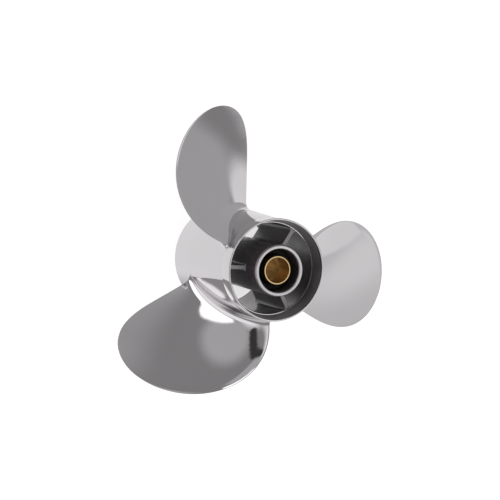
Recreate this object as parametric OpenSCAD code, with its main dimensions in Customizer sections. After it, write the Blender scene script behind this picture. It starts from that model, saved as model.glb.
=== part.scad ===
// Three-blade through-hub-exhaust propeller for a mid-size outboard, right-hand rotation.
// The shaft axis is Z. +Z points aft, so the part stands on the hub's forward face.
// The origin is on the shaft axis, halfway along the drive sleeve's forward pilot bore.

/* [Blades] */
// Diameter swept by the blade tips
prop_d = 338; // [326:1:344]
// Distance the blade face advances in one turn
pitch = 427; // [400:1:455]
// Length of a blade section at the hub, measured along the helix
root_chord = 108; // [98:1:112]
// Added length of a section, in mm, if it kept growing at the root's rate up to the tip
chord_growth = 82; // [74:1:90]
// Further growth towards the middle of the span, in mm
chord_belly = 69; // [60:1:78]
// Narrowing towards the tip, in mm
chord_tip_cut = 61; // [52:1:68]
// How squarely the outline closes at the tip
tip_fullness = 2.1; // [1.9:0.05:2.4]
// Sweep of the mid-line towards the trailing edge near the hub, in mm
sweep_aft = 31; // [24:1:38]
// Sweep of the mid-line back towards the leading edge in the outer half, in mm
sweep_middle = 51; // [44:1:58]
// Further sweep towards the leading edge, felt only near the tip, in mm
sweep_tip = 22; // [16:1:28]
// Forward lean of the blade, in mm per mm of span
rake_forward = 0.19; // [0.14:0.01:0.24]
// Aft curl of the outer blade, in mm of lift at the tip
rake_curl = 12; // [8:0.5:15]
// Thickest point of the root section
root_t = 9; // [7:0.5:10]
// Thickness of the section near the tip
tip_t = 3; // [2.4:0.1:3.6]
// Thickness left along the leading and trailing edges
edge_t = 1.2; // [0.8:0.1:1.6]
// Depth of the hollow in the pressure face
camber = 4; // [1:0.5:6]
// Where the hollow is deepest: 1 is halfway across, more lies nearer the leading edge
hollow_skew = 2; // [1:0.25:2.5]
// Height of the cup along the trailing edge
cup_h = 2.5; // [0.5:0.25:4]
// Radius of the fillet between a blade and the hub
fillet_r = 9; // [6:0.5:10]
// Distance from the tail ring's aft edge down to the middle of a blade's root
root_drop = 62.3; // [61:0.1:64]
// Angle of the first blade's root, from +X
blade_angle = 115.7; // [0:0.1:120]

/* [Hub barrel and tail ring] */
// Length of the hub with its tail ring
hub_l = 144; // [140:1:150]
// Outside diameter at the forward face
front_d = 115; // [112:0.5:118]
// Outside diameter at the waist, where the tail ring starts to flare
waist_d = 104.6; // [103:0.1:106]
// Outside diameter of the tail ring's aft edge
ring_d = 107; // [106:0.5:110]
// Length of the flared tail ring
ring_l = 21; // [18:0.5:24]
// Wall of the barrel
wall = 4.5; // [4:0.25:5.5]
// Width of the tail ring's aft lip
lip_t = 2; // [1.5:0.1:2.6]

/* [Inner hub and ribs] */
// Outside diameter of the inner hub
inner_d = 53.6; // [52:0.2:55]
// Bore of the inner hub, which the rubber bush fills
bush_bore_d = 44.8; // [44:0.2:46]
// How far the inner hub stands aft of the tail ring
inner_proud = 6.5; // [3:0.5:9]
// Distance from the barrel's forward face in to the inner hub
inner_inset = 8; // [5:0.5:10]
// Thickness of a rib
rib_t = 4.2; // [3.4:0.2:5]
// Length of a rib along the shaft
rib_l = 76; // [60:1:80]
// Angle of the first rib, from +X
rib_angle = 58; // [50:1:62]

/* [Rubber bush and drive sleeve] */
// Distance from the inner hub's aft end down to the rubber
bush_recess = 18; // [14:0.5:22]
// Running clearance on radius between the sleeve, the bush and the hub
fit_gap = 0.05; // [0.03:0.01:0.08]
// Outside diameter of the sleeve inside the rubber
sleeve_d = 32; // [31:0.5:33]
// Outside diameter of the sleeve's aft nose
nose_d = 29.4; // [29.4:0.1:30]
// Bore of the plain pilot at the forward end of the sleeve
pilot_d = 26.8; // [26.4:0.1:27]
// Plain bore at the aft end of the sleeve
aft_bore_d = 26.8; // [26.4:0.1:27]
// Length of the forward pilot
front_pilot_l = 20; // [16:1:24]
// Length of the plain aft bore
aft_bore_l = 28; // [24:1:40]
// Number of spline teeth
spline_teeth = 15; // [13:1:17]
// Diameter over the grooves between the spline teeth
spline_major_d = 25.6; // [25.2:0.1:25.8]
// Diameter inside the spline teeth
spline_minor_d = 23.4; // [22.8:0.1:24]
// Distance from the ring's aft edge out to the sleeve's aft end
sleeve_proud = 1.5; // [0:0.5:3]

/* [Hidden] */
$fn = 96;
CHORD_STEPS = 22;                 // facets along a section
SPAN_STEPS = 20;                  // sections from the fillet's top to the tip
FILLET_STEPS = 5;                 // sections through the fillet
EMBED = 1.4;                      // how deep a blade root is let into the wall
TIP_END = 0.9999;                 // the last section, as a share of the span
CUP_W = 0.08;                     // width of the cup, as a share of the section
BELLY_POWER = 0.8;                // how fast a section thickens from its edges
TIP_THINNING = 8;                 // how late the thickness closes towards the tip
FACE_FADE = 1.5;                  // how late the hollow fades towards the tip
FILLET_SPREAD = 1.6;              // the fillet's growth along the section, in fillet radii
FILLET_POWER = 0.3;               // how fast the fillet swells from a section's edges
SLEEVE_INSET = 12;                // forward face of the hub in to the sleeve's thrust face
SHOULDER_T = 6;                   // wall of the shoulder at the inner hub's forward end
SHOULDER_D = 37;                  // hole in that shoulder
EDGE_R = 3;                       // rounding of the barrel's forward corner
BORE_TAPER = 4;                   // how much wider the barrel's bore is at its forward end
CREASE_UP = 4;                    // the ring's inner crease lies this far aft of its outer one
CREASE_STEP = 0.8;                // width of the flat step at the ring's inner crease
NOSE_BEVEL = 1.5;                 // bevels at the inner hub's aft end
BUSH_BEVEL = 1.5;
SLEEVE_BEVEL = 0.5;
NOSE_L = 10;                      // length of the sleeve's narrower aft nose, and of the cone behind it
MOUTH = 1.2;                      // depth of the bevel at the mouth of the forward pilot
MOUTH_W = 0.6;                    // width of that bevel
FREE_GAP = 0.4;                   // axial gap between pieces that turn against each other

steel = [0.80, 0.80, 0.81];
enamel = [0.17, 0.15, 0.16];
rubber = [0.06, 0.06, 0.06];
brass = [0.74, 0.56, 0.27];

z_front = -(SLEEVE_INSET + MOUTH + front_pilot_l / 2);   // barrel's forward face
z_aft = z_front + hub_l;                                 // tail ring's aft edge
z_waist = z_aft - ring_l;                                // joint of barrel and tail ring
z_crease = z_waist + CREASE_UP;
z_inner_aft = z_aft + inner_proud;
z_inner_front = z_front + inner_inset;
z_sleeve_front = z_front + SLEEVE_INSET;
z_sleeve_aft = z_aft + sleeve_proud;
z_rib_aft = z_crease - 1;
z_bush_aft = z_inner_aft - bush_recess;
z_bush_front = z_inner_front + SHOULDER_T + FREE_GAP;
z_spline_front = z_sleeve_front + MOUTH + front_pilot_l;
z_spline_aft = z_sleeve_aft - aft_bore_l;

bore_r = waist_d / 2 - wall;
mid_r = (front_d + waist_d) / 4;
tip_r = prop_d / 2;
span = tip_r - mid_r;
z_blade = z_aft - root_drop;      // mid-chord of the root section

function clip(x, low, high) = min(max(x, low), high);

// Outside radius of the barrel and its tail ring at a height
function flare(z) = clip((z - z_waist) / ring_l, 0, 1);
function skin_r(z) =
    let (t = clip((z_waist - z) / (z_waist - z_front), 0, 1))
    waist_d / 2 + (front_d - waist_d) / 2 * t + (ring_d - waist_d) / 2 * flare(z);

// Outline of a blade, where s is the share of the span from the hub to the tip
function closing(s) = sqrt(max(0, 1 - pow(s, tip_fullness)));
function chord(s) =
    closing(s) * (root_chord + chord_growth * s + chord_belly * s * s - chord_tip_cut * pow(s, 3));
function sweep(s) = sweep_aft * s - sweep_middle * s * s - sweep_tip * pow(s, 3);
function rake(s) = -rake_forward * span * s + rake_curl * s * s;
function helix(s) = atan2(pitch, 2 * PI * (mid_r + span * s));

// Thickness, hollow and cup across a section, where u runs from the leading to the trailing edge
function belly(u) = 4 * u * (1 - u);
function thickness(s, u) =
    let (closing = sqrt(max(0, 1 - pow(s, TIP_THINNING))))
    edge_t + (root_t + (tip_t - root_t) * s) * pow(belly(u), BELLY_POWER) * closing;
function cup(s, u) = cup_h * pow(clip(1 - (1 - u) / CUP_W, 0, 1), 2) * min(1, 2 * s) * closing(s);
function hollow(u) =
    let (deepest = 1 / (hollow_skew + 1))
    u / deepest * pow((1 - u) / (1 - deepest), hollow_skew);
function face(s, u) = cup(s, u) - camber * hollow(u) * (1 - pow(s, FACE_FADE));

// Swelling of the root fillet at a height above the hub's skin
function swell(h) =
    let (g = clip(1 - h / fillet_r, 0, 1))
    fillet_r * (1 - sqrt(1 - g * g));

// A point of the blade: height above the skin, place across the section, and side (0 aft, 1 forward)
function blade_point(h, u, side, angle) =
    let (s = max(h, 0) / span)
    let (e = swell(max(h, 0)))
    let (along = sweep(s) + (u - 0.5) * (chord(s) + FILLET_SPREAD * e))
    let (puff = e * pow(belly(u), FILLET_POWER))
    let (off = side == 0 ? face(s, u) + puff : face(s, u) - thickness(s, u) - puff)
    let (z = z_blade + rake(s) + along * sin(helix(s)) + off * cos(helix(s)))
    let (r = skin_r(z) + h + (mid_r - skin_r(z)) * s)
    let (turn = angle + (along * cos(helix(s)) - off * sin(helix(s))) / r * 180 / PI)
    [r * cos(turn), r * sin(turn), z];

// Heights of the sections above the skin: one let into the wall, the fillet, then the span
function section_heights() = concat(
    [-EMBED],
    [for (i = [0:FILLET_STEPS]) fillet_r * (1 - cos(90 * i / FILLET_STEPS))],
    [for (i = [1:SPAN_STEPS])
        let (t = i / SPAN_STEPS)
        fillet_r + (span * TIP_END - fillet_r) * (1 - (1 - t) * (1 - t))]);

// Share of the chord at each step, closer together at the edges
function chord_share(i) = 0.5 - 0.5 * cos(180 * i / CHORD_STEPS);

// One closed loop of points around a section
function section(h, angle) = concat(
    [for (i = [0:CHORD_STEPS]) blade_point(h, chord_share(i), 0, angle)],
    [for (i = [CHORD_STEPS:-1:0]) blade_point(h, chord_share(i), 1, angle)]);

module blade(angle) {
    heights = section_heights();
    rows = len(heights);
    loop = 2 * (CHORD_STEPS + 1);
    points = [for (h = heights) each section(h, angle)];
    sides = [for (row = [0:rows - 2], i = [0:loop - 1])
        let (j = (i + 1) % loop)
        let (a = row * loop)
        let (b = a + loop)
        each [[a + i, b + j, b + i], [a + i, a + j, b + j]]];
    caps = [for (i = [0:CHORD_STEPS - 1])
        let (j = loop - 1 - i)
        let (top = (rows - 1) * loop)
        each [
            [i, j, i + 1], [i + 1, j, j - 1],
            [top + i, top + i + 1, top + j], [top + i + 1, top + j - 1, top + j]]];
    polyhedron(points, concat(sides, caps));
}

// A straight rib between the inner hub and the barrel
module rib(angle) {
    difference() {
        intersection() {
            rotate([0, 0, angle])
                translate([0, -rib_t / 2, z_rib_aft - rib_l])
                    cube([front_d / 2, rib_t, rib_l]);
            exhaust_space();
        }
        translate([0, 0, z_rib_aft - rib_l - 1])
            cylinder(d = inner_d, h = rib_l + 2);
    }
}

// The room inside the barrel, up to the tail ring
module exhaust_space() {
    translate([0, 0, z_front])
        cylinder(r1 = bore_r + BORE_TAPER, r2 = bore_r, h = z_waist - z_front);
    translate([0, 0, z_waist])
        cylinder(r = bore_r, h = CREASE_UP);
}

module hub_barrel() {
    front_r = front_d / 2;
    color(steel)
        rotate_extrude() {
            polygon([
                [bore_r + BORE_TAPER, z_front],
                [front_r - EDGE_R, z_front],
                [front_r - EDGE_R, z_front + EDGE_R],
                [skin_r(z_front + EDGE_R), z_front + EDGE_R],
                [waist_d / 2, z_waist],
                [bore_r, z_waist]]);
            translate([front_r - EDGE_R, z_front + EDGE_R])
                intersection() {
                    circle(r = EDGE_R);
                    translate([0, -EDGE_R])
                        square(EDGE_R);
                }
        }
}

module diffuser_ring() {
    lip_r = ring_d / 2 - lip_t;
    color(steel)
        rotate_extrude()
            polygon([
                [waist_d / 2, z_waist],
                [ring_d / 2, z_aft],
                [lip_r, z_aft],
                [bore_r + CREASE_STEP, z_crease],
                [bore_r, z_crease],
                [bore_r, z_waist]]);
}

module inner_hub() {
    color(steel)
        rotate_extrude()
            polygon([
                [SHOULDER_D / 2, z_inner_front],
                [inner_d / 2, z_inner_front],
                [inner_d / 2, z_inner_aft - 2 * NOSE_BEVEL],
                [inner_d / 2 - NOSE_BEVEL / 2, z_inner_aft - NOSE_BEVEL / 2],
                [inner_d / 2 - NOSE_BEVEL, z_inner_aft],
                [bush_bore_d / 2 + NOSE_BEVEL / 2, z_inner_aft],
                [bush_bore_d / 2, z_inner_aft - NOSE_BEVEL],
                [bush_bore_d / 2, z_inner_front + SHOULDER_T],
                [SHOULDER_D / 2, z_inner_front + SHOULDER_T]]);
}

module rib_1() { color(enamel) rib(rib_angle); }
module rib_2() { color(enamel) rib(rib_angle + 120); }
module rib_3() { color(enamel) rib(rib_angle + 240); }

module blade_1() { color(steel) blade(blade_angle); }
module blade_2() { color(steel) blade(blade_angle + 120); }
module blade_3() { color(steel) blade(blade_angle + 240); }

module rubber_bush() {
    in_r = sleeve_d / 2 + fit_gap;
    out_r = bush_bore_d / 2 - fit_gap;
    color(rubber)
        rotate_extrude()
            polygon([
                [in_r, z_bush_front],
                [out_r - BUSH_BEVEL, z_bush_front],
                [out_r, z_bush_front + BUSH_BEVEL],
                [out_r, z_bush_aft - BUSH_BEVEL],
                [out_r - BUSH_BEVEL, z_bush_aft],
                [in_r, z_bush_aft]]);
}

// The room between the spline teeth, which are as wide as the grooves
module spline_space() {
    step = 360 / spline_teeth;
    far = spline_major_d;
    linear_extrude(z_spline_aft - z_spline_front)
        union() {
            circle(d = spline_minor_d);
            for (i = [0:spline_teeth - 1])
                rotate(i * step)
                    intersection() {
                        circle(d = spline_major_d);
                        polygon([[0, 0], [far, -far * tan(step / 4)], [far, far * tan(step / 4)]]);
                    }
        }
}

module drive_sleeve() {
    pilot_r = pilot_d / 2;
    out_r = sleeve_d / 2;
    color(brass)
        difference() {
            rotate_extrude()
                polygon([
                    [0, z_sleeve_front],
                    [out_r - SLEEVE_BEVEL, z_sleeve_front],
                    [out_r, z_sleeve_front + SLEEVE_BEVEL],
                    [out_r, z_sleeve_aft - 2 * NOSE_L],
                    [nose_d / 2, z_sleeve_aft - NOSE_L],
                    [nose_d / 2, z_sleeve_aft],
                    [0, z_sleeve_aft]]);
            translate([0, 0, z_sleeve_front - 1])
                cylinder(r = pilot_r, h = z_spline_front - z_sleeve_front + 1);
            translate([0, 0, z_sleeve_front])
                cylinder(r1 = pilot_r + MOUTH_W, r2 = pilot_r, h = MOUTH);
            translate([0, 0, z_spline_front])
                spline_space();
            translate([0, 0, z_spline_aft])
                cylinder(d = aft_bore_d, h = aft_bore_l + 1);
        }
}

hub_barrel();
diffuser_ring();
inner_hub();
rib_1();
rib_2();
rib_3();
blade_1();
blade_2();
blade_3();
rubber_bush();
drive_sleeve();
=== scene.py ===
"""Looks of the boat propeller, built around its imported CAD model.

The shaft is the Z axis with the aft end up, so the camera looks down past the aft end at a pale floor.
Lengths below are in millimetres until MM turns them into Blender's metres.
"""

import math

import bpy
import numpy as np
from mathutils import Matrix, Vector

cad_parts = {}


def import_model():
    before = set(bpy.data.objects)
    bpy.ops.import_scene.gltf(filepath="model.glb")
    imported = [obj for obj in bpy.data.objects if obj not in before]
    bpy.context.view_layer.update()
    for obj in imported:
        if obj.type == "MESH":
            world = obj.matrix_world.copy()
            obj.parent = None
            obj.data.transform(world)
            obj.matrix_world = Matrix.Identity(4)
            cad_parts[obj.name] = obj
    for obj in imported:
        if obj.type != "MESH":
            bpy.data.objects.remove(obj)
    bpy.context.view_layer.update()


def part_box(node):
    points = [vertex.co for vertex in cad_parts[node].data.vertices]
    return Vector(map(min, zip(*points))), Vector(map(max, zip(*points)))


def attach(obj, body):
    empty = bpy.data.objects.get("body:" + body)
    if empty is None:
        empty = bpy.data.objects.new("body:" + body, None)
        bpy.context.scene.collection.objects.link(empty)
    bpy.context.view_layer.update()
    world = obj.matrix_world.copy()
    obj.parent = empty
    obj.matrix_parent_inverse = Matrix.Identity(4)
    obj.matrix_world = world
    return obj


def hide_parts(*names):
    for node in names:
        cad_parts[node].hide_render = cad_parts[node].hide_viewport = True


MM = 0.001
THIRD_TURN = 120  # degrees from one blade or rib to the next

# Blade outline and sections, the same driving dimensions as the CAD model
PITCH = 427.0
ROOT_CHORD = 108.0
CHORD_GROWTH = 82.0
CHORD_BELLY = 69.0
CHORD_TIP_CUT = 61.0
TIP_FULLNESS = 2.1
SWEEP_AFT = 31.0
SWEEP_MIDDLE = 51.0
SWEEP_TIP = 22.0
RAKE_FORWARD = 0.19
RAKE_CURL = 12.0
ROOT_T = 9.0
TIP_T = 3.0
EDGE_T = 1.2
CAMBER = 4.0
HOLLOW_SKEW = 2.0  # 1 puts the deepest hollow at mid-chord, more moves it towards the leading edge
CUP_H = 2.5
CUP_W = 0.08  # share of the chord, at the trailing edge
CUP_FULL = 0.5  # the cup has its full height from this share of the span outwards
FACE_FADE = 1.5  # how late the hollow fades towards the tip
BELLY_POWER = 0.8  # how fast a section thickens from its edges
TIP_THINNING = 8  # how late the thickness closes towards the tip
EDGE_ROUND = 0.8  # how far the rounding of an edge reaches in, in edge thicknesses
FILLET_R = 9.0
FILLET_SPREAD = 1.6  # the fillet's growth along the section, in fillet radii
FILLET_POWER = 0.3  # how fast the fillet swells from a section's edges
TIP_D = 338.0
BLADE_ANGLE = 115.7
BLADE_DROP = 62.3  # mid-chord of the root section, below the tail ring's edge
SKIN_DEPTH = 0.4  # how deep the first section lies under the barrel's skin
TIP_END = 0.99999  # the last section, as a share of the span
CHORD_STEPS = 96  # facets along a section
FILLET_STEPS = 14  # sections through the fillet
SPAN_STEPS = 72  # sections from the fillet's top to the tip

# Hub
FRONT_D = 115.0
WAIST_D = 104.6
RING_D = 107.0
RING_L = 21.0
CREASE_UP = 4.0
WALL = 4.5
BORE_TAPER = 4.0
LIP_T = 2.0
CREASE_STEP = 0.8
EDGE_R = 3.0  # rounding of the barrel's forward corner
INNER_D = 53.6
BUSH_BORE_D = 44.8
SHOULDER_T = 6.0
SHOULDER_D = 37.0
NOSE_BEVEL_L = 2.4  # bevel round the inner hub's aft end, along the shaft
NOSE_BEVEL_W = 1.0
BORE_BEVEL_L = 1.4  # bevel at the mouth of its bore, along the shaft
BORE_BEVEL_W = 0.8

# Ribs
RIB_T = 4.2
RIB_ANGLE = 58.0
RIB_STEPS = 24  # facets along a rib's side
FLARE = 2.2  # how far a rib's side spreads where it meets a tube
FLARE_REACH = 1.6  # length of that spread along the rib, in flares
RIB_IN_HUB = 0.4  # how far a rib goes into the inner hub
RIB_IN_BARREL = 0.6  # and into the barrel

# Finishes laid over the steel as thin films, and how far each stops short of an edge
FILM_T = 0.15
THROAT_T = 0.05
FRONT_BARE = 2.0
CREASE_BARE = 0.6
LIP_BARE = 1.6
NOSE_BARE = 0.4
LAND_EDGE = 0.3  # a rib's bare end is this much thinner than the rib, and this far from the barrel
LAND_FROM_HUB = 0.2
LAND_FLARE = 2.0  # as FLARE, on the bare end

# Bush and sleeve
FIT_GAP = 0.05
BUSH_BEVEL = 1.5
GROOVE_DEPTH = 1.4  # groove moulded round the bush's aft face, between two beads
OUTER_BEAD_W = 2.6
OUTER_CREST = 1.4  # the outer bead's crest, in from the bush's outside
CREST_DROP = 0.2  # and below the bush's aft end
OUTER_SIDE = 1.6  # the outer bead's side starts this far below that end
INNER_BEAD_W = 1.8
INNER_CREST = 0.7
INNER_SIDE = 0.4
SLEEVE_D = 32.0
NOSE_D = 29.4
NOSE_L = 10.0
PILOT_D = 26.8
AFT_BORE_D = 26.8
SPLINE_MAJOR_D = 25.6
SPLINE_MINOR_D = 23.4
SPLINE_TEETH = 15
FRONT_PILOT_L = 20.0
AFT_BORE_L = 28.0
MOUTH = 1.2
MOUTH_W = 0.6
FLANK_SLOPE = 1.6  # how steep the sides of the spline teeth are
STEPS_PER_TOOTH = 24
BORE_ROWS = 12  # rows of points along the aft bore, and along the splines
PILOT_ROWS = 5
SPLINE_END = 0.02  # length of the step at each end of the splines

LATHE_STEPS = 192  # facets of a full turn
ARC_STEPS = 6  # facets of a rounded corner
MAX_CUT = 0.49  # share of a side that one rounding may take
SHARP_DEG = 35.0  # edges that turn more than this are shaded sharp


# ---------------------------------------------------------------- mesh helpers
def make_mesh(name, points_mm, faces, sharp_deg=SHARP_DEG):
    """A smooth-shaded object from points in millimetres."""
    mesh = bpy.data.meshes.new(name)
    mesh.from_pydata([tuple(p) for p in np.asarray(points_mm) * MM], [], faces)
    mesh.validate()
    mesh.polygons.foreach_set("use_smooth", [True] * len(mesh.polygons))
    mesh.set_sharp_from_angle(angle=math.radians(sharp_deg))
    obj = bpy.data.objects.new(name, mesh)
    bpy.context.scene.collection.objects.link(obj)
    return obj


def rounded(corners):
    """A closed outline of (radius, height, rounding) corners, each rounded with an arc."""
    out = []
    count = len(corners)
    for i, (radius, height, rounding) in enumerate(corners):
        corner = np.array([radius, height], float)
        if rounding <= 0:
            out.append(corner)
            continue
        back = np.array(corners[i - 1][:2], float) - corner
        on = np.array(corners[(i + 1) % count][:2], float) - corner
        back_l, on_l = np.linalg.norm(back), np.linalg.norm(on)
        back, on = back / back_l, on / on_l
        half = 0.5 * math.acos(float(np.clip(back @ on, -1, 1)))
        cut = min(rounding / math.tan(half), MAX_CUT * back_l, MAX_CUT * on_l)
        arc_r = cut * math.tan(half)
        middle = corner + (back + on) / np.linalg.norm(back + on) * arc_r / math.sin(half)
        start = corner + back * cut - middle
        end = corner + on * cut - middle
        first, last = math.atan2(start[1], start[0]), math.atan2(end[1], end[0])
        turn = (last - first + math.pi) % (2 * math.pi) - math.pi
        for k in range(ARC_STEPS + 1):
            angle = first + turn * k / ARC_STEPS
            out.append(middle + arc_r * np.array([math.cos(angle), math.sin(angle)]))
    return np.array(out)


def lathe(name, outline):
    """A closed outline of (radius, height) turned about the shaft axis."""
    outline = np.asarray(outline, float)
    radius, height = outline.T
    area = np.sum(radius * np.roll(height, -1) - np.roll(radius, -1) * height)
    if area < 0:
        outline = outline[::-1]
    n = len(outline)
    angles = np.linspace(0, 2 * math.pi, LATHE_STEPS, endpoint=False)
    points = [(r * math.cos(a), r * math.sin(a), z) for a in angles for r, z in outline]
    faces = []
    for i in range(LATHE_STEPS):
        j = (i + 1) % LATHE_STEPS
        for k in range(n):
            m = (k + 1) % n
            faces.append((i * n + k, j * n + k, j * n + m, i * n + m))
    return make_mesh(name, points, faces)


def film(name, outer, inner):
    """A thin shell between two open outlines of (radius, height)."""
    return lathe(name, list(outer) + list(inner)[::-1])


# ---------------------------------------------------------------- hub
class Heights:
    """Levels along the shaft in millimetres, read from the CAD nodes."""

    def __init__(self):
        def low(node):
            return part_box(node)[0].z / MM

        def high(node):
            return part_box(node)[1].z / MM

        self.front = low("hub_barrel")
        self.waist = high("hub_barrel")
        self.aft = high("diffuser_ring")
        self.crease = self.waist + CREASE_UP
        self.inner_front = low("inner_hub")
        self.inner_aft = high("inner_hub")
        self.rib_front = low("rib_1")
        self.rib_aft = high("rib_1")
        self.bush_front = low("rubber_bush")
        self.bush_aft = high("rubber_bush")
        self.sleeve_front = low("drive_sleeve")
        self.sleeve_aft = high("drive_sleeve")
        self.spline_front = self.sleeve_front + MOUTH + FRONT_PILOT_L
        self.spline_aft = self.sleeve_aft - AFT_BORE_L


def skin_r(z, at):
    """Outside radius of the barrel and its tail ring at height z."""
    taper = np.clip((at.waist - z) / (at.waist - at.front), 0, 1)
    flare = np.clip((z - at.waist) / RING_L, 0, 1)
    return WAIST_D / 2 + (FRONT_D - WAIST_D) / 2 * taper + (RING_D - WAIST_D) / 2 * flare


def bore_r(z, at):
    """Radius of the barrel's bore at height z."""
    return WAIST_D / 2 - WALL + BORE_TAPER * np.clip((at.waist - z) / (at.waist - at.front), 0, 1)


def hub_barrel(at):
    """The tube that the blades stand on."""
    outline = rounded([
        (bore_r(at.front, at), at.front, 1.0),
        (FRONT_D / 2, at.front, EDGE_R),
        (WAIST_D / 2, at.waist, 0),
        (bore_r(at.waist, at), at.waist, 0),
    ])
    return lathe("hub_barrel_look", outline)


def diffuser_ring(at):
    """The flared tail ring, with a fine step in its bore where the flare starts."""
    bore = WAIST_D / 2 - WALL
    outline = rounded([
        (WAIST_D / 2, at.waist, 0),
        (RING_D / 2, at.aft, 0.9),
        (RING_D / 2 - LIP_T, at.aft, 0.9),
        (bore + CREASE_STEP, at.crease, 0.2),
        (bore, at.crease, 0.25),
        (bore, at.waist, 0),
    ])
    return lathe("diffuser_ring_look", outline)


def ring_throat(at):
    """The ring's inner cone, left as the lathe cut it."""
    low, high = at.crease + CREASE_BARE, at.aft - LIP_BARE
    crease_r = WAIST_D / 2 - WALL + CREASE_STEP
    slope = (RING_D / 2 - LIP_T - crease_r) / (at.aft - at.crease)
    outer = [(crease_r + slope * (z - at.crease), z) for z in (low, high)]
    inner = [(r - THROAT_T, z) for r, z in outer]
    return film("ring_throat", outer, inner)


def inner_hub(at):
    """The tube that holds the bush, closed at its forward end to a shoulder."""
    outer, bore, hole = INNER_D / 2, BUSH_BORE_D / 2, SHOULDER_D / 2
    outline = rounded([
        (hole, at.inner_front, 0.6),
        (outer, at.inner_front, 1.5),
        (outer, at.inner_aft - NOSE_BEVEL_L, 0.6),
        (outer - NOSE_BEVEL_W, at.inner_aft, 0.6),
        (bore + BORE_BEVEL_W, at.inner_aft, 0.3),
        (bore, at.inner_aft - BORE_BEVEL_L, 0.3),
        (bore, at.inner_front + SHOULDER_T, 0),
        (hole, at.inner_front + SHOULDER_T, 0.5),
    ])
    return lathe("inner_hub_look", outline)


def barrel_enamel(at):
    """The dark coat inside the barrel."""
    heights = [at.front + FRONT_BARE, at.waist, at.crease - CREASE_BARE]
    outer = [(float(bore_r(z, at)), z) for z in heights]
    inner = [(r - FILM_T, z) for r, z in outer]
    return film("barrel_enamel", outer, inner)


def inner_hub_enamel(at):
    """The dark coat outside the inner hub, up to its bevelled end."""
    low, high = at.inner_front + FRONT_BARE, at.inner_aft - NOSE_BEVEL_L - NOSE_BARE
    outer = [(INNER_D / 2 + FILM_T, low), (INNER_D / 2 + FILM_T, high)]
    inner = [(INNER_D / 2, low), (INNER_D / 2, high)]
    return film("inner_hub_enamel", outer, inner)


def rib_mesh(name, number, heights, radii, thick, flare):
    """A straight rib between two heights and two radii, whose sides flare into the tubes it joins."""
    inner, outer = radii
    across = np.linspace(0, 1, RIB_STEPS + 1)
    reach = np.minimum(across, 1 - across) * (outer - inner)
    half = thick / 2 + flare * np.clip(1 - reach / (flare * FLARE_REACH), 0, 1) ** 2
    points, faces = [], []
    for z in heights:
        for side in (1, -1):
            for t, h in zip(across, half):
                points.append((inner + (outer - inner) * t, side * h, z))
    n = len(across)
    for k in range(n - 1):
        low_l, low_r, up_l, up_r = k, n + k, 2 * n + k, 3 * n + k
        faces += [
            (low_l, low_l + 1, low_r + 1, low_r),
            (up_l, up_r, up_r + 1, up_l + 1),
            (low_l, up_l, up_l + 1, low_l + 1),
            (low_r, low_r + 1, up_r + 1, up_r),
        ]
    faces.append((0, n, 3 * n, 2 * n))
    faces.append((n - 1, 3 * n - 1, 4 * n - 1, 2 * n - 1))
    a = math.radians(RIB_ANGLE + THIRD_TURN * (number - 1))
    turn = np.array([[math.cos(a), -math.sin(a), 0], [math.sin(a), math.cos(a), 0], [0, 0, 1]])
    return make_mesh(name, np.array(points) @ turn.T, faces)


def rib(number, at):
    """An enamelled rib."""
    heights = (at.rib_front, at.rib_aft)
    radii = (INNER_D / 2 - RIB_IN_HUB, float(bore_r(at.rib_aft, at)) + RIB_IN_BARREL)
    return rib_mesh(f"rib_{number}_look", number, heights, radii, RIB_T, FLARE)


def rib_land(number, at):
    """The bare aft end of a rib."""
    heights = (at.rib_aft, at.rib_aft + FILM_T)
    radii = (INNER_D / 2 + LAND_FROM_HUB, float(bore_r(at.rib_aft, at)) - LAND_EDGE)
    return rib_mesh(f"rib_land_{number}", number, heights, radii, RIB_T - LAND_EDGE, LAND_FLARE)


# ---------------------------------------------------------------- bush and sleeve
def rubber_bush(at):
    """The bush, with a shallow groove between two beads in its aft face."""
    inner, outer = SLEEVE_D / 2 + FIT_GAP, BUSH_BORE_D / 2 - FIT_GAP
    front, top = at.bush_front, at.bush_aft
    groove = top - GROOVE_DEPTH
    outline = rounded([
        (inner, front, 0),
        (outer - BUSH_BEVEL, front, 0.5),
        (outer, front + BUSH_BEVEL, 0.5),
        (outer, top - OUTER_SIDE, 0.6),
        (outer - OUTER_CREST, top - CREST_DROP, 0.6),
        (outer - OUTER_BEAD_W, groove, 0.8),
        (inner + INNER_BEAD_W, groove, 0.8),
        (inner + INNER_CREST, top, 0.4),
        (inner, top - INNER_SIDE, 0.2),
    ])
    return lathe("rubber_bush_look", outline)


def sleeve_bore(z, angles, at):
    """Radius of the sleeve's bore at height z: forward pilot, splines, then the plain aft bore."""
    if z <= at.spline_front:
        mouth = max(0.0, 1 - (z - at.sleeve_front) / MOUTH)
        return np.full(len(angles), PILOT_D / 2 + mouth * MOUTH_W)
    if z >= at.spline_aft:
        return np.full(len(angles), AFT_BORE_D / 2)
    tooth = np.clip(0.5 - FLANK_SLOPE * np.cos(SPLINE_TEETH * angles), 0, 1)
    return SPLINE_MAJOR_D / 2 - tooth * (SPLINE_MAJOR_D - SPLINE_MINOR_D) / 2


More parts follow.
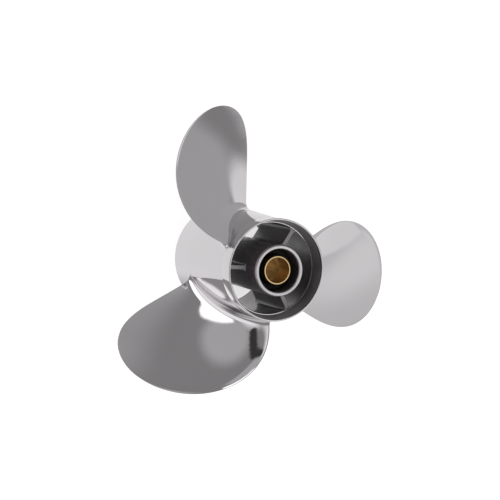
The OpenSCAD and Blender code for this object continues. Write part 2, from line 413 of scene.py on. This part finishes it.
def drive_sleeve(at):
    """The brass sleeve: a turned outside, and a bore whose middle stretch has the splines."""
    steps = SPLINE_TEETH * STEPS_PER_TOOTH
    angles = np.linspace(0, 2 * math.pi, steps, endpoint=False)
    inside = np.concatenate([
        np.linspace(at.sleeve_aft, at.spline_aft, BORE_ROWS),
        np.linspace(at.spline_aft - SPLINE_END, at.spline_front + SPLINE_END, BORE_ROWS),
        np.linspace(at.spline_front, at.sleeve_front + MOUTH, PILOT_ROWS),
        [at.sleeve_front],
    ])
    outside = rounded([
        (PILOT_D / 2 + MOUTH_W, at.sleeve_front, 0),
        (SLEEVE_D / 2, at.sleeve_front, 0.5),
        (SLEEVE_D / 2, at.sleeve_aft - 2 * NOSE_L, 2.0),
        (NOSE_D / 2, at.sleeve_aft - NOSE_L, 3.0),
        (NOSE_D / 2, at.sleeve_aft, 0.3),
        (AFT_BORE_D / 2, at.sleeve_aft, 0),
    ])[1:-1]
    rows = [(np.full(steps, r), z) for r, z in outside]
    rows += [(sleeve_bore(z, angles, at), z) for z in inside]
    points = np.concatenate([
        np.stack([r * np.cos(angles), r * np.sin(angles), np.full(steps, z)], 1)
        for r, z in rows
    ])
    faces = []
    for row in range(len(rows)):
        a, b = row * steps, ((row + 1) % len(rows)) * steps
        for i in range(steps):
            j = (i + 1) % steps
            faces.append((a + i, a + j, b + j, b + i))
    return make_mesh("drive_sleeve_look", points, faces, sharp_deg=40.0)


# ---------------------------------------------------------------- blades
def blade_points(height, across, side, angle, at):
    """Points of a blade's aft face (side 0) or forward face (side 1), in millimetres.

    height is above the barrel's skin, and across is 0 at the leading edge and 1 at the trailing edge.
    """
    mid_r = (FRONT_D + WAIST_D) / 4
    span = TIP_D / 2 - mid_r
    up = np.maximum(height, 0)
    s = up / span  # share of the span, from the hub to the tip
    lift = np.clip(1 - up / FILLET_R, 0, 1)
    swell = FILLET_R * (1 - np.sqrt(1 - lift**2))
    closing = np.sqrt(np.maximum(0, 1 - s**TIP_FULLNESS))
    chord = closing * (ROOT_CHORD + CHORD_GROWTH * s + CHORD_BELLY * s**2 - CHORD_TIP_CUT * s**3)
    sweep = SWEEP_AFT * s - SWEEP_MIDDLE * s**2 - SWEEP_TIP * s**3
    rake = -RAKE_FORWARD * span * s + RAKE_CURL * s**2
    helix = np.arctan2(PITCH, 2 * math.pi * (mid_r + span * s))
    width = chord + FILLET_SPREAD * swell
    along = sweep + (across - 0.5) * width
    belly = 4 * across * (1 - across)
    thinning = np.sqrt(np.maximum(0, 1 - s**TIP_THINNING))
    thick = EDGE_T + (ROOT_T + (TIP_T - ROOT_T) * s) * belly**BELLY_POWER * thinning
    cup = CUP_H * np.clip(1 - (1 - across) / CUP_W, 0, 1) ** 2 * np.minimum(1, s / CUP_FULL) * closing
    deepest = 1 / (HOLLOW_SKEW + 1)
    hollow = across / deepest * ((1 - across) / (1 - deepest)) ** HOLLOW_SKEW
    face = cup - CAMBER * hollow * (1 - np.minimum(s, 1) ** FACE_FADE)
    puff = swell * belly**FILLET_POWER
    inset = width * np.minimum(across, 1 - across)
    nose = np.clip(1 - inset / (EDGE_T * EDGE_ROUND), 0, 1)
    round_off = EDGE_T / 2 * (1 - np.sqrt(1 - nose**2))
    off = face + puff - round_off if side == 0 else face - thick - puff + round_off
    z = at.aft - BLADE_DROP + rake + along * np.sin(helix) + off * np.cos(helix)
    skin = skin_r(z, at)
    r = skin + height + (mid_r - skin) * s
    turn = math.radians(angle) + (along * np.cos(helix) - off * np.sin(helix)) / r
    return np.stack([r * np.cos(turn), r * np.sin(turn), z], -1)


def blade(number, at):
    """One blade as a closed grid: aft face, rounded edge, forward face."""
    span = TIP_D / 2 - (FRONT_D + WAIST_D) / 4
    across = 0.5 - 0.5 * np.cos(np.linspace(0, math.pi, CHORD_STEPS + 1))
    rise = FILLET_R * (1 - np.cos(np.linspace(0, math.pi / 2, FILLET_STEPS + 1)))
    out = 1 - (1 - np.linspace(0, 1, SPAN_STEPS + 1)[1:]) ** 2
    heights = np.concatenate([[-SKIN_DEPTH], rise, FILLET_R + (span * TIP_END - FILLET_R) * out])
    grid_heights, grid_across = np.meshgrid(heights, across, indexing="ij")
    angle = BLADE_ANGLE + THIRD_TURN * (number - 1)
    aft = blade_points(grid_heights, grid_across, 0, angle, at)
    fore = blade_points(grid_heights, grid_across, 1, angle, at)[:, ::-1]
    grid = np.concatenate([aft, fore[:, 1:-1]], 1)
    rows, loop = grid.shape[:2]
    faces = []
    for a in range(rows - 1):
        for i in range(loop):
            j = (i + 1) % loop
            faces.append((a * loop + i, a * loop + j, (a + 1) * loop + j, (a + 1) * loop + i))
    top = (rows - 1) * loop
    for i in range(CHORD_STEPS):
        j = (loop - i) % loop
        k = loop - i - 1
        bottom = (i, j, k, i + 1)
        if i == 0:
            bottom = (i, k, i + 1)
        if i + 1 == k:
            bottom = (i, j, i + 1)
        faces.append(bottom)
        faces.append(tuple(top + v for v in reversed(bottom)))
    return make_mesh(f"blade_{number}_look", grid.reshape(-1, 3), faces, sharp_deg=60.0)


# ---------------------------------------------------------------- materials
NOISE_LOW, NOISE_HIGH = 0.3, 0.7  # most of a noise texture lies between these


def shader(name, **values):
    """A new material, its node tree and its main shader, with the shader's plain values set."""
    material = bpy.data.materials.new(name)
    material.use_nodes = True
    main = material.node_tree.nodes["Principled BSDF"]
    for key, value in values.items():
        main.inputs[key.replace("_", " ")].default_value = value
    return material, material.node_tree, main


def math_node(tree, operation, a, b=None, c=None):
    """The result of an operation on numbers or on other nodes' results."""
    node = tree.nodes.new("ShaderNodeMath")
    node.operation = operation
    for socket, value in zip(node.inputs, (a, b, c)):
        if isinstance(value, bpy.types.NodeSocket):
            tree.links.new(value, socket)
        elif value is not None:
            socket.default_value = value
    return node.outputs[0]


def noise(tree, scale, detail=4.0, stretch=(1, 1, 1)):
    """Noise over the object; a stretch below 1 draws it out along that axis into brushed marks."""
    place = tree.nodes.new("ShaderNodeTexCoord")
    shape = tree.nodes.new("ShaderNodeMapping")
    shape.inputs["Scale"].default_value = stretch
    texture = tree.nodes.new("ShaderNodeTexNoise")
    texture.inputs["Scale"].default_value = scale
    texture.inputs["Detail"].default_value = detail
    tree.links.new(place.outputs["Object"], shape.inputs["Vector"])
    tree.links.new(shape.outputs["Vector"], texture.inputs["Vector"])
    return texture.outputs["Fac"]


def spread(tree, value, low, high):
    """Maps noise onto low to high."""
    node = tree.nodes.new("ShaderNodeMapRange")
    node.inputs["From Min"].default_value = NOISE_LOW
    node.inputs["From Max"].default_value = NOISE_HIGH
    node.inputs["To Min"].default_value = low
    node.inputs["To Max"].default_value = high
    tree.links.new(value, node.inputs["Value"])
    return node.outputs["Result"]


def bump(tree, main, value, strength, distance):
    """Fine relief from a value, at most distance metres high."""
    node = tree.nodes.new("ShaderNodeBump")
    node.inputs["Strength"].default_value = strength
    node.inputs["Distance"].default_value = distance
    tree.links.new(value, node.inputs["Height"])
    tree.links.new(node.outputs["Normal"], main.inputs["Normal"])


def tint(tree, main, value, dark, light):
    """Base colour between two shades, mixed by a value."""
    node = tree.nodes.new("ShaderNodeMix")
    node.data_type = "RGBA"
    node.inputs["A"].default_value = (*dark, 1)
    node.inputs["B"].default_value = (*light, 1)
    tree.links.new(value, node.inputs["Factor"])
    tree.links.new(node.outputs["Result"], main.inputs["Base Color"])


def polished_steel(name="polished_steel", rough=(0.04, 0.08)):
    """Cast steel polished by hand: a soft waviness under a fine satin."""
    material, tree, main = shader(name, Metallic=1.0)
    broad = noise(tree, scale=14.0, detail=3.0)
    fine = noise(tree, scale=420.0, detail=3.0, stretch=(1, 1, 0.25))
    tint(tree, main, broad, (0.61, 0.595, 0.605), (0.65, 0.635, 0.645))
    tree.links.new(spread(tree, broad, *rough), main.inputs["Roughness"])
    waves = noise(tree, scale=16.0, detail=1.0)
    fine_share = 0.04
    mixed = math_node(tree, "MULTIPLY_ADD", fine, fine_share, waves)
    bump(tree, main, mixed, strength=1.0, distance=0.0004)
    return material


def exhaust_enamel():
    """Dark heat-resistant coat, a little patchy."""
    material, tree, main = shader("exhaust_enamel", IOR=1.5)
    patch = noise(tree, scale=60.0)
    grain = noise(tree, scale=900.0, detail=2.0)
    tint(tree, main, patch, (0.058, 0.042, 0.052), (0.082, 0.062, 0.074))
    tree.links.new(spread(tree, patch, 0.18, 0.28), main.inputs["Roughness"])
    bump(tree, main, grain, strength=0.15, distance=0.0002)
    return material


def turned_steel():
    """Metal left as the lathe cut it, with fine grooves running round the shaft."""
    material, tree, main = shader("turned_steel", Metallic=1.0, Anisotropic=0.95, Anisotropic_Rotation=0.25)
    patch = noise(tree, scale=60.0)
    grooves = noise(tree, scale=700.0, detail=2.0, stretch=(0.05, 0.05, 1.0))
    tint(tree, main, patch, (0.28, 0.27, 0.275), (0.40, 0.385, 0.39))
    tree.links.new(spread(tree, patch, 0.46, 0.54), main.inputs["Roughness"])
    around = tree.nodes.new("ShaderNodeTangent")
    around.direction_type = "RADIAL"
    around.axis = "Z"
    tree.links.new(around.outputs["Tangent"], main.inputs["Tangent"])
    bump(tree, main, grooves, strength=0.1, distance=0.0001)
    return material


def dulled_steel():
    """Bare metal dulled by exhaust, on the ribs' aft faces."""
    material, tree, main = shader("dulled_land", Metallic=0.5)
    patch = noise(tree, scale=120.0)
    grain = noise(tree, scale=900.0, detail=2.0)
    tint(tree, main, patch, (0.49, 0.47, 0.48), (0.613, 0.588, 0.603))
    tree.links.new(spread(tree, patch, 0.50, 0.68), main.inputs["Roughness"])
    bump(tree, main, grain, strength=0.12, distance=0.0002)
    return material


def black_rubber():
    """Matt moulded rubber."""
    material, tree, main = shader("rubber")
    grain = noise(tree, scale=500.0)
    tint(tree, main, grain, (0.006, 0.006, 0.006), (0.014, 0.013, 0.013))
    tree.links.new(spread(tree, grain, 0.55, 0.75), main.inputs["Roughness"])
    bump(tree, main, grain, strength=0.2, distance=0.0003)
    return material


def sleeve_brass():
    """Machined brass, slightly dulled."""
    material, tree, main = shader("brass", Metallic=1.0)
    broad = noise(tree, scale=40.0)
    turned = noise(tree, scale=300.0, detail=2.0, stretch=(0.1, 0.1, 3.0))
    tint(tree, main, broad, (0.40, 0.28, 0.13), (0.58, 0.43, 0.23))
    tree.links.new(spread(tree, turned, 0.07, 0.13), main.inputs["Roughness"])
    bump(tree, main, turned, strength=0.1, distance=0.0002)
    return material


def paint(obj, material):
    """Gives an object one material."""
    obj.data.materials.clear()
    obj.data.materials.append(material)


# ---------------------------------------------------------------- studio
LENS = 115.4  # on a sensor SENSOR wide
SENSOR = 36.0
CAMERA_REACH = 50.0  # metres
DISTANCE = 1644.5  # camera to the middle of the tail ring's edge, along the line of sight
TILT = 24.45  # degrees between the shaft and the line of sight
ROLL = 13.5  # degrees of the shaft below the picture's horizontal
RING_RIGHT = 27.6  # the ring's middle, right of and below the line of sight
RING_BELOW = 20.7

FLOOR_HALF = 30000.0  # half its side, wide enough to reach past the picture in a low view
FLOOR_DROP = 0.2  # below the part's forward face
FLOOR_GREY = (0.8, 0.8, 0.8, 1)
FLOOR_GLOW = 0.72

# What the polished metal mirrors: dim walls, and round cards and lamps, each in front of the ones above it.
# A row gives the middle as seen from the part, in degrees from the direction of the camera and in degrees
# around it, anticlockwise from the picture's right; then the radius and soft edge in degrees, and the light.
WALLS = 0.30
LIGHT_COLOUR = (1.0, 0.99, 1.0, 1)
CARDS = {
    "white backdrop": (180, 0, 45, 10, 0.85),
    "white table": (115, -75, 72, 4, 0.72),
    "near end of the table": (35, -75, 18, 12, 0.58),
    "pool of light on the table": (85, -58, 15, 20, 0.90),
    "shadow of the hub on the table": (150, -140, 16, 8, 0.10),
    "grey wall at the right": (100, 50, 44, 8, 0.49),
    "white board at the right": (120, -25, 31, 4, 0.92),
    "fill wall at the left": (135, 160, 35, 25, 0.95),
    "reflector by the camera": (36, 165, 18, 10, 0.54),
    "side softbox": (68, -170, 18, 10, 1.2),
    "top softbox": (55, 60, 20, 30, 0.7),
    "front reflector": (50, -15, 12, 8, 1.35),
}

# Long ones in front of those: the two ends in the same angles, then half the width, soft edge and light
STRIPS = {
    "key softbox": ((49, 128), (56, 160), 7, 3, 1.8),
    "black flag": ((47, -167), (31, -149), 3, 2, 0.05),
}


def view_axes():
    """The turn from the picture's right, down and away directions to the part's own axes."""
    tilt, roll = math.radians(TILT), math.radians(ROLL)
    shaft = Vector((math.sin(tilt) * math.cos(roll), math.sin(tilt) * math.sin(roll), -math.cos(tilt)))
    up = Vector((0, -1, 0))
    y_axis = (up - shaft * up.dot(shaft)).normalized()
    x_axis = y_axis.cross(shaft)
    return Matrix((x_axis, y_axis, shaft))


def camera(at):
    """A camera DISTANCE from the tail ring, with the shaft at TILT and ROLL."""
    to_part = view_axes()
    ring = Vector((RING_RIGHT, RING_BELOW, DISTANCE)) * MM
    place = Vector((0, 0, at.aft * MM)) - to_part @ ring
    flip = Matrix(((1, 0, 0), (0, -1, 0), (0, 0, -1)))
    data = bpy.data.cameras.new("camera")
    data.sensor_width = SENSOR
    data.lens = LENS
    data.clip_end = CAMERA_REACH
    obj = bpy.data.objects.new("camera", data)
    obj.matrix_world = Matrix.Translation(place) @ (to_part @ flip).to_4x4()
    bpy.context.scene.collection.objects.link(obj)
    bpy.context.scene.camera = obj


def floor(at):
    """A pale floor that the metal doesn't mirror, because the cards stand for all that it mirrors."""
    material, _, main = shader("floor", Roughness=0.9)
    main.inputs["Base Color"].default_value = FLOOR_GREY
    main.inputs["Emission Color"].default_value = (1, 1, 1, 1)
    main.inputs["Emission Strength"].default_value = FLOOR_GLOW
    signs = ((-1, -1), (1, -1), (1, 1), (-1, 1))
    corners = [(x * FLOOR_HALF, y * FLOOR_HALF, at.front - FLOOR_DROP) for x, y in signs]
    obj = make_mesh("floor", corners, [(0, 1, 2, 3)])
    obj.visible_glossy = False
    paint(obj, material)


def toward(off_axis, around):
    """The direction of a card, from its angle off the camera's direction and its angle around that."""
    a, b = math.radians(off_axis), math.radians(around)
    return view_axes() @ Vector((math.sin(a) * math.cos(b), -math.sin(a) * math.sin(b), -math.cos(a)))


def facing(tree, look, direction):
    """Cosine of the angle between the direction looked in and a fixed one."""
    node = tree.nodes.new("ShaderNodeVectorMath")
    node.operation = "DOT_PRODUCT"
    node.inputs[1].default_value = direction
    tree.links.new(look, node.inputs[0])
    return node.outputs["Value"]


def angle_from_strip(tree, look, start, end):
    """Angle between the direction looked in and the nearest point of the arc from start to end."""
    half = start.angle(end) / 2
    ahead = facing(tree, look, (start + end).normalized())
    aside = facing(tree, look, (end - start).normalized())
    along = math_node(tree, "ARCTAN2", aside, ahead)
    along = math_node(tree, "MAXIMUM", math_node(tree, "MINIMUM", along, half), -half)
    part_aside = math_node(tree, "MULTIPLY", math_node(tree, "SINE", along), aside)
    near = math_node(tree, "MULTIPLY_ADD", math_node(tree, "COSINE", along), ahead, part_aside)
    return math_node(tree, "ARCCOSINE", near)


def put_in_front(tree, light, angle, radius, soft, strength):
    """The light so far, with a card of the given strength where the angle from its middle is small."""
    edge = tree.nodes.new("ShaderNodeMapRange")
    edge.interpolation_type = "SMOOTHSTEP"
    edge.inputs["From Min"].default_value = math.radians(radius + soft / 2)
    edge.inputs["From Max"].default_value = math.radians(radius - soft / 2)
    tree.links.new(angle, edge.inputs["Value"])
    change = math_node(tree, "SUBTRACT", strength, light)
    return math_node(tree, "MULTIPLY_ADD", edge.outputs["Result"], change, light)


def world():
    """The dim walls, with every card put in front of the ones before it."""
    made = bpy.data.worlds.new("studio")
    bpy.context.scene.world = made
    made.use_nodes = True
    tree = made.node_tree
    back = tree.nodes["Background"]
    look = tree.nodes.new("ShaderNodeTexCoord").outputs["Generated"]
    light = WALLS
    for off_axis, around, radius, soft, strength in CARDS.values():
        angle = math_node(tree, "ARCCOSINE", facing(tree, look, toward(off_axis, around)))
        light = put_in_front(tree, light, angle, radius, soft, strength)
    for start, end, half_width, soft, strength in STRIPS.values():
        angle = angle_from_strip(tree, look, toward(*start), toward(*end))
        light = put_in_front(tree, light, angle, half_width, soft, strength)
    tree.links.new(light, back.inputs["Strength"])
    back.inputs["Color"].default_value = LIGHT_COLOUR


def studio(at):
    """The photographer's side of the scene."""
    bpy.context.scene.view_settings.view_transform = "Standard"
    camera(at)
    floor(at)
    world()


# ---------------------------------------------------------------- the object
def main():
    """Builds each piece, gives it its finish and puts it on the body that it moves with."""
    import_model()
    at = Heights()
    steel = polished_steel()
    enamel = exhaust_enamel()
    satin = polished_steel("satin_steel", (0.30, 0.42))
    land = dulled_steel()
    throat = turned_steel()
    rubber = black_rubber()
    brass = sleeve_brass()
    # each piece with its material, body, material slot and the CAD node that it replaces
    made = [
        (hub_barrel(at), steel, "propeller", "polished_steel", "hub_barrel"),
        (diffuser_ring(at), steel, "propeller", "polished_steel", "diffuser_ring"),
        (ring_throat(at), throat, "propeller", "polished_steel", None),
        (inner_hub(at), satin, "propeller", "polished_steel", "inner_hub"),
        (barrel_enamel(at), enamel, "propeller", "exhaust_enamel", None),
        (inner_hub_enamel(at), enamel, "propeller", "exhaust_enamel", None),
        (rubber_bush(at), rubber, "bush", "rubber", "rubber_bush"),
        (drive_sleeve(at), brass, "sleeve", "brass", "drive_sleeve"),
    ]
    for number in (1, 2, 3):
        made.append((rib(number, at), enamel, "propeller", "exhaust_enamel", f"rib_{number}"))
        made.append((rib_land(number, at), land, "propeller", "polished_steel", None))
        made.append((blade(number, at), steel, "propeller", "polished_steel", f"blade_{number}"))
    for obj, material, body, slot, node in made:
        paint(obj, material)
        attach(obj, body)
        if node:
            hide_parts(node)
    studio(at)
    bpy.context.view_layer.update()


main()
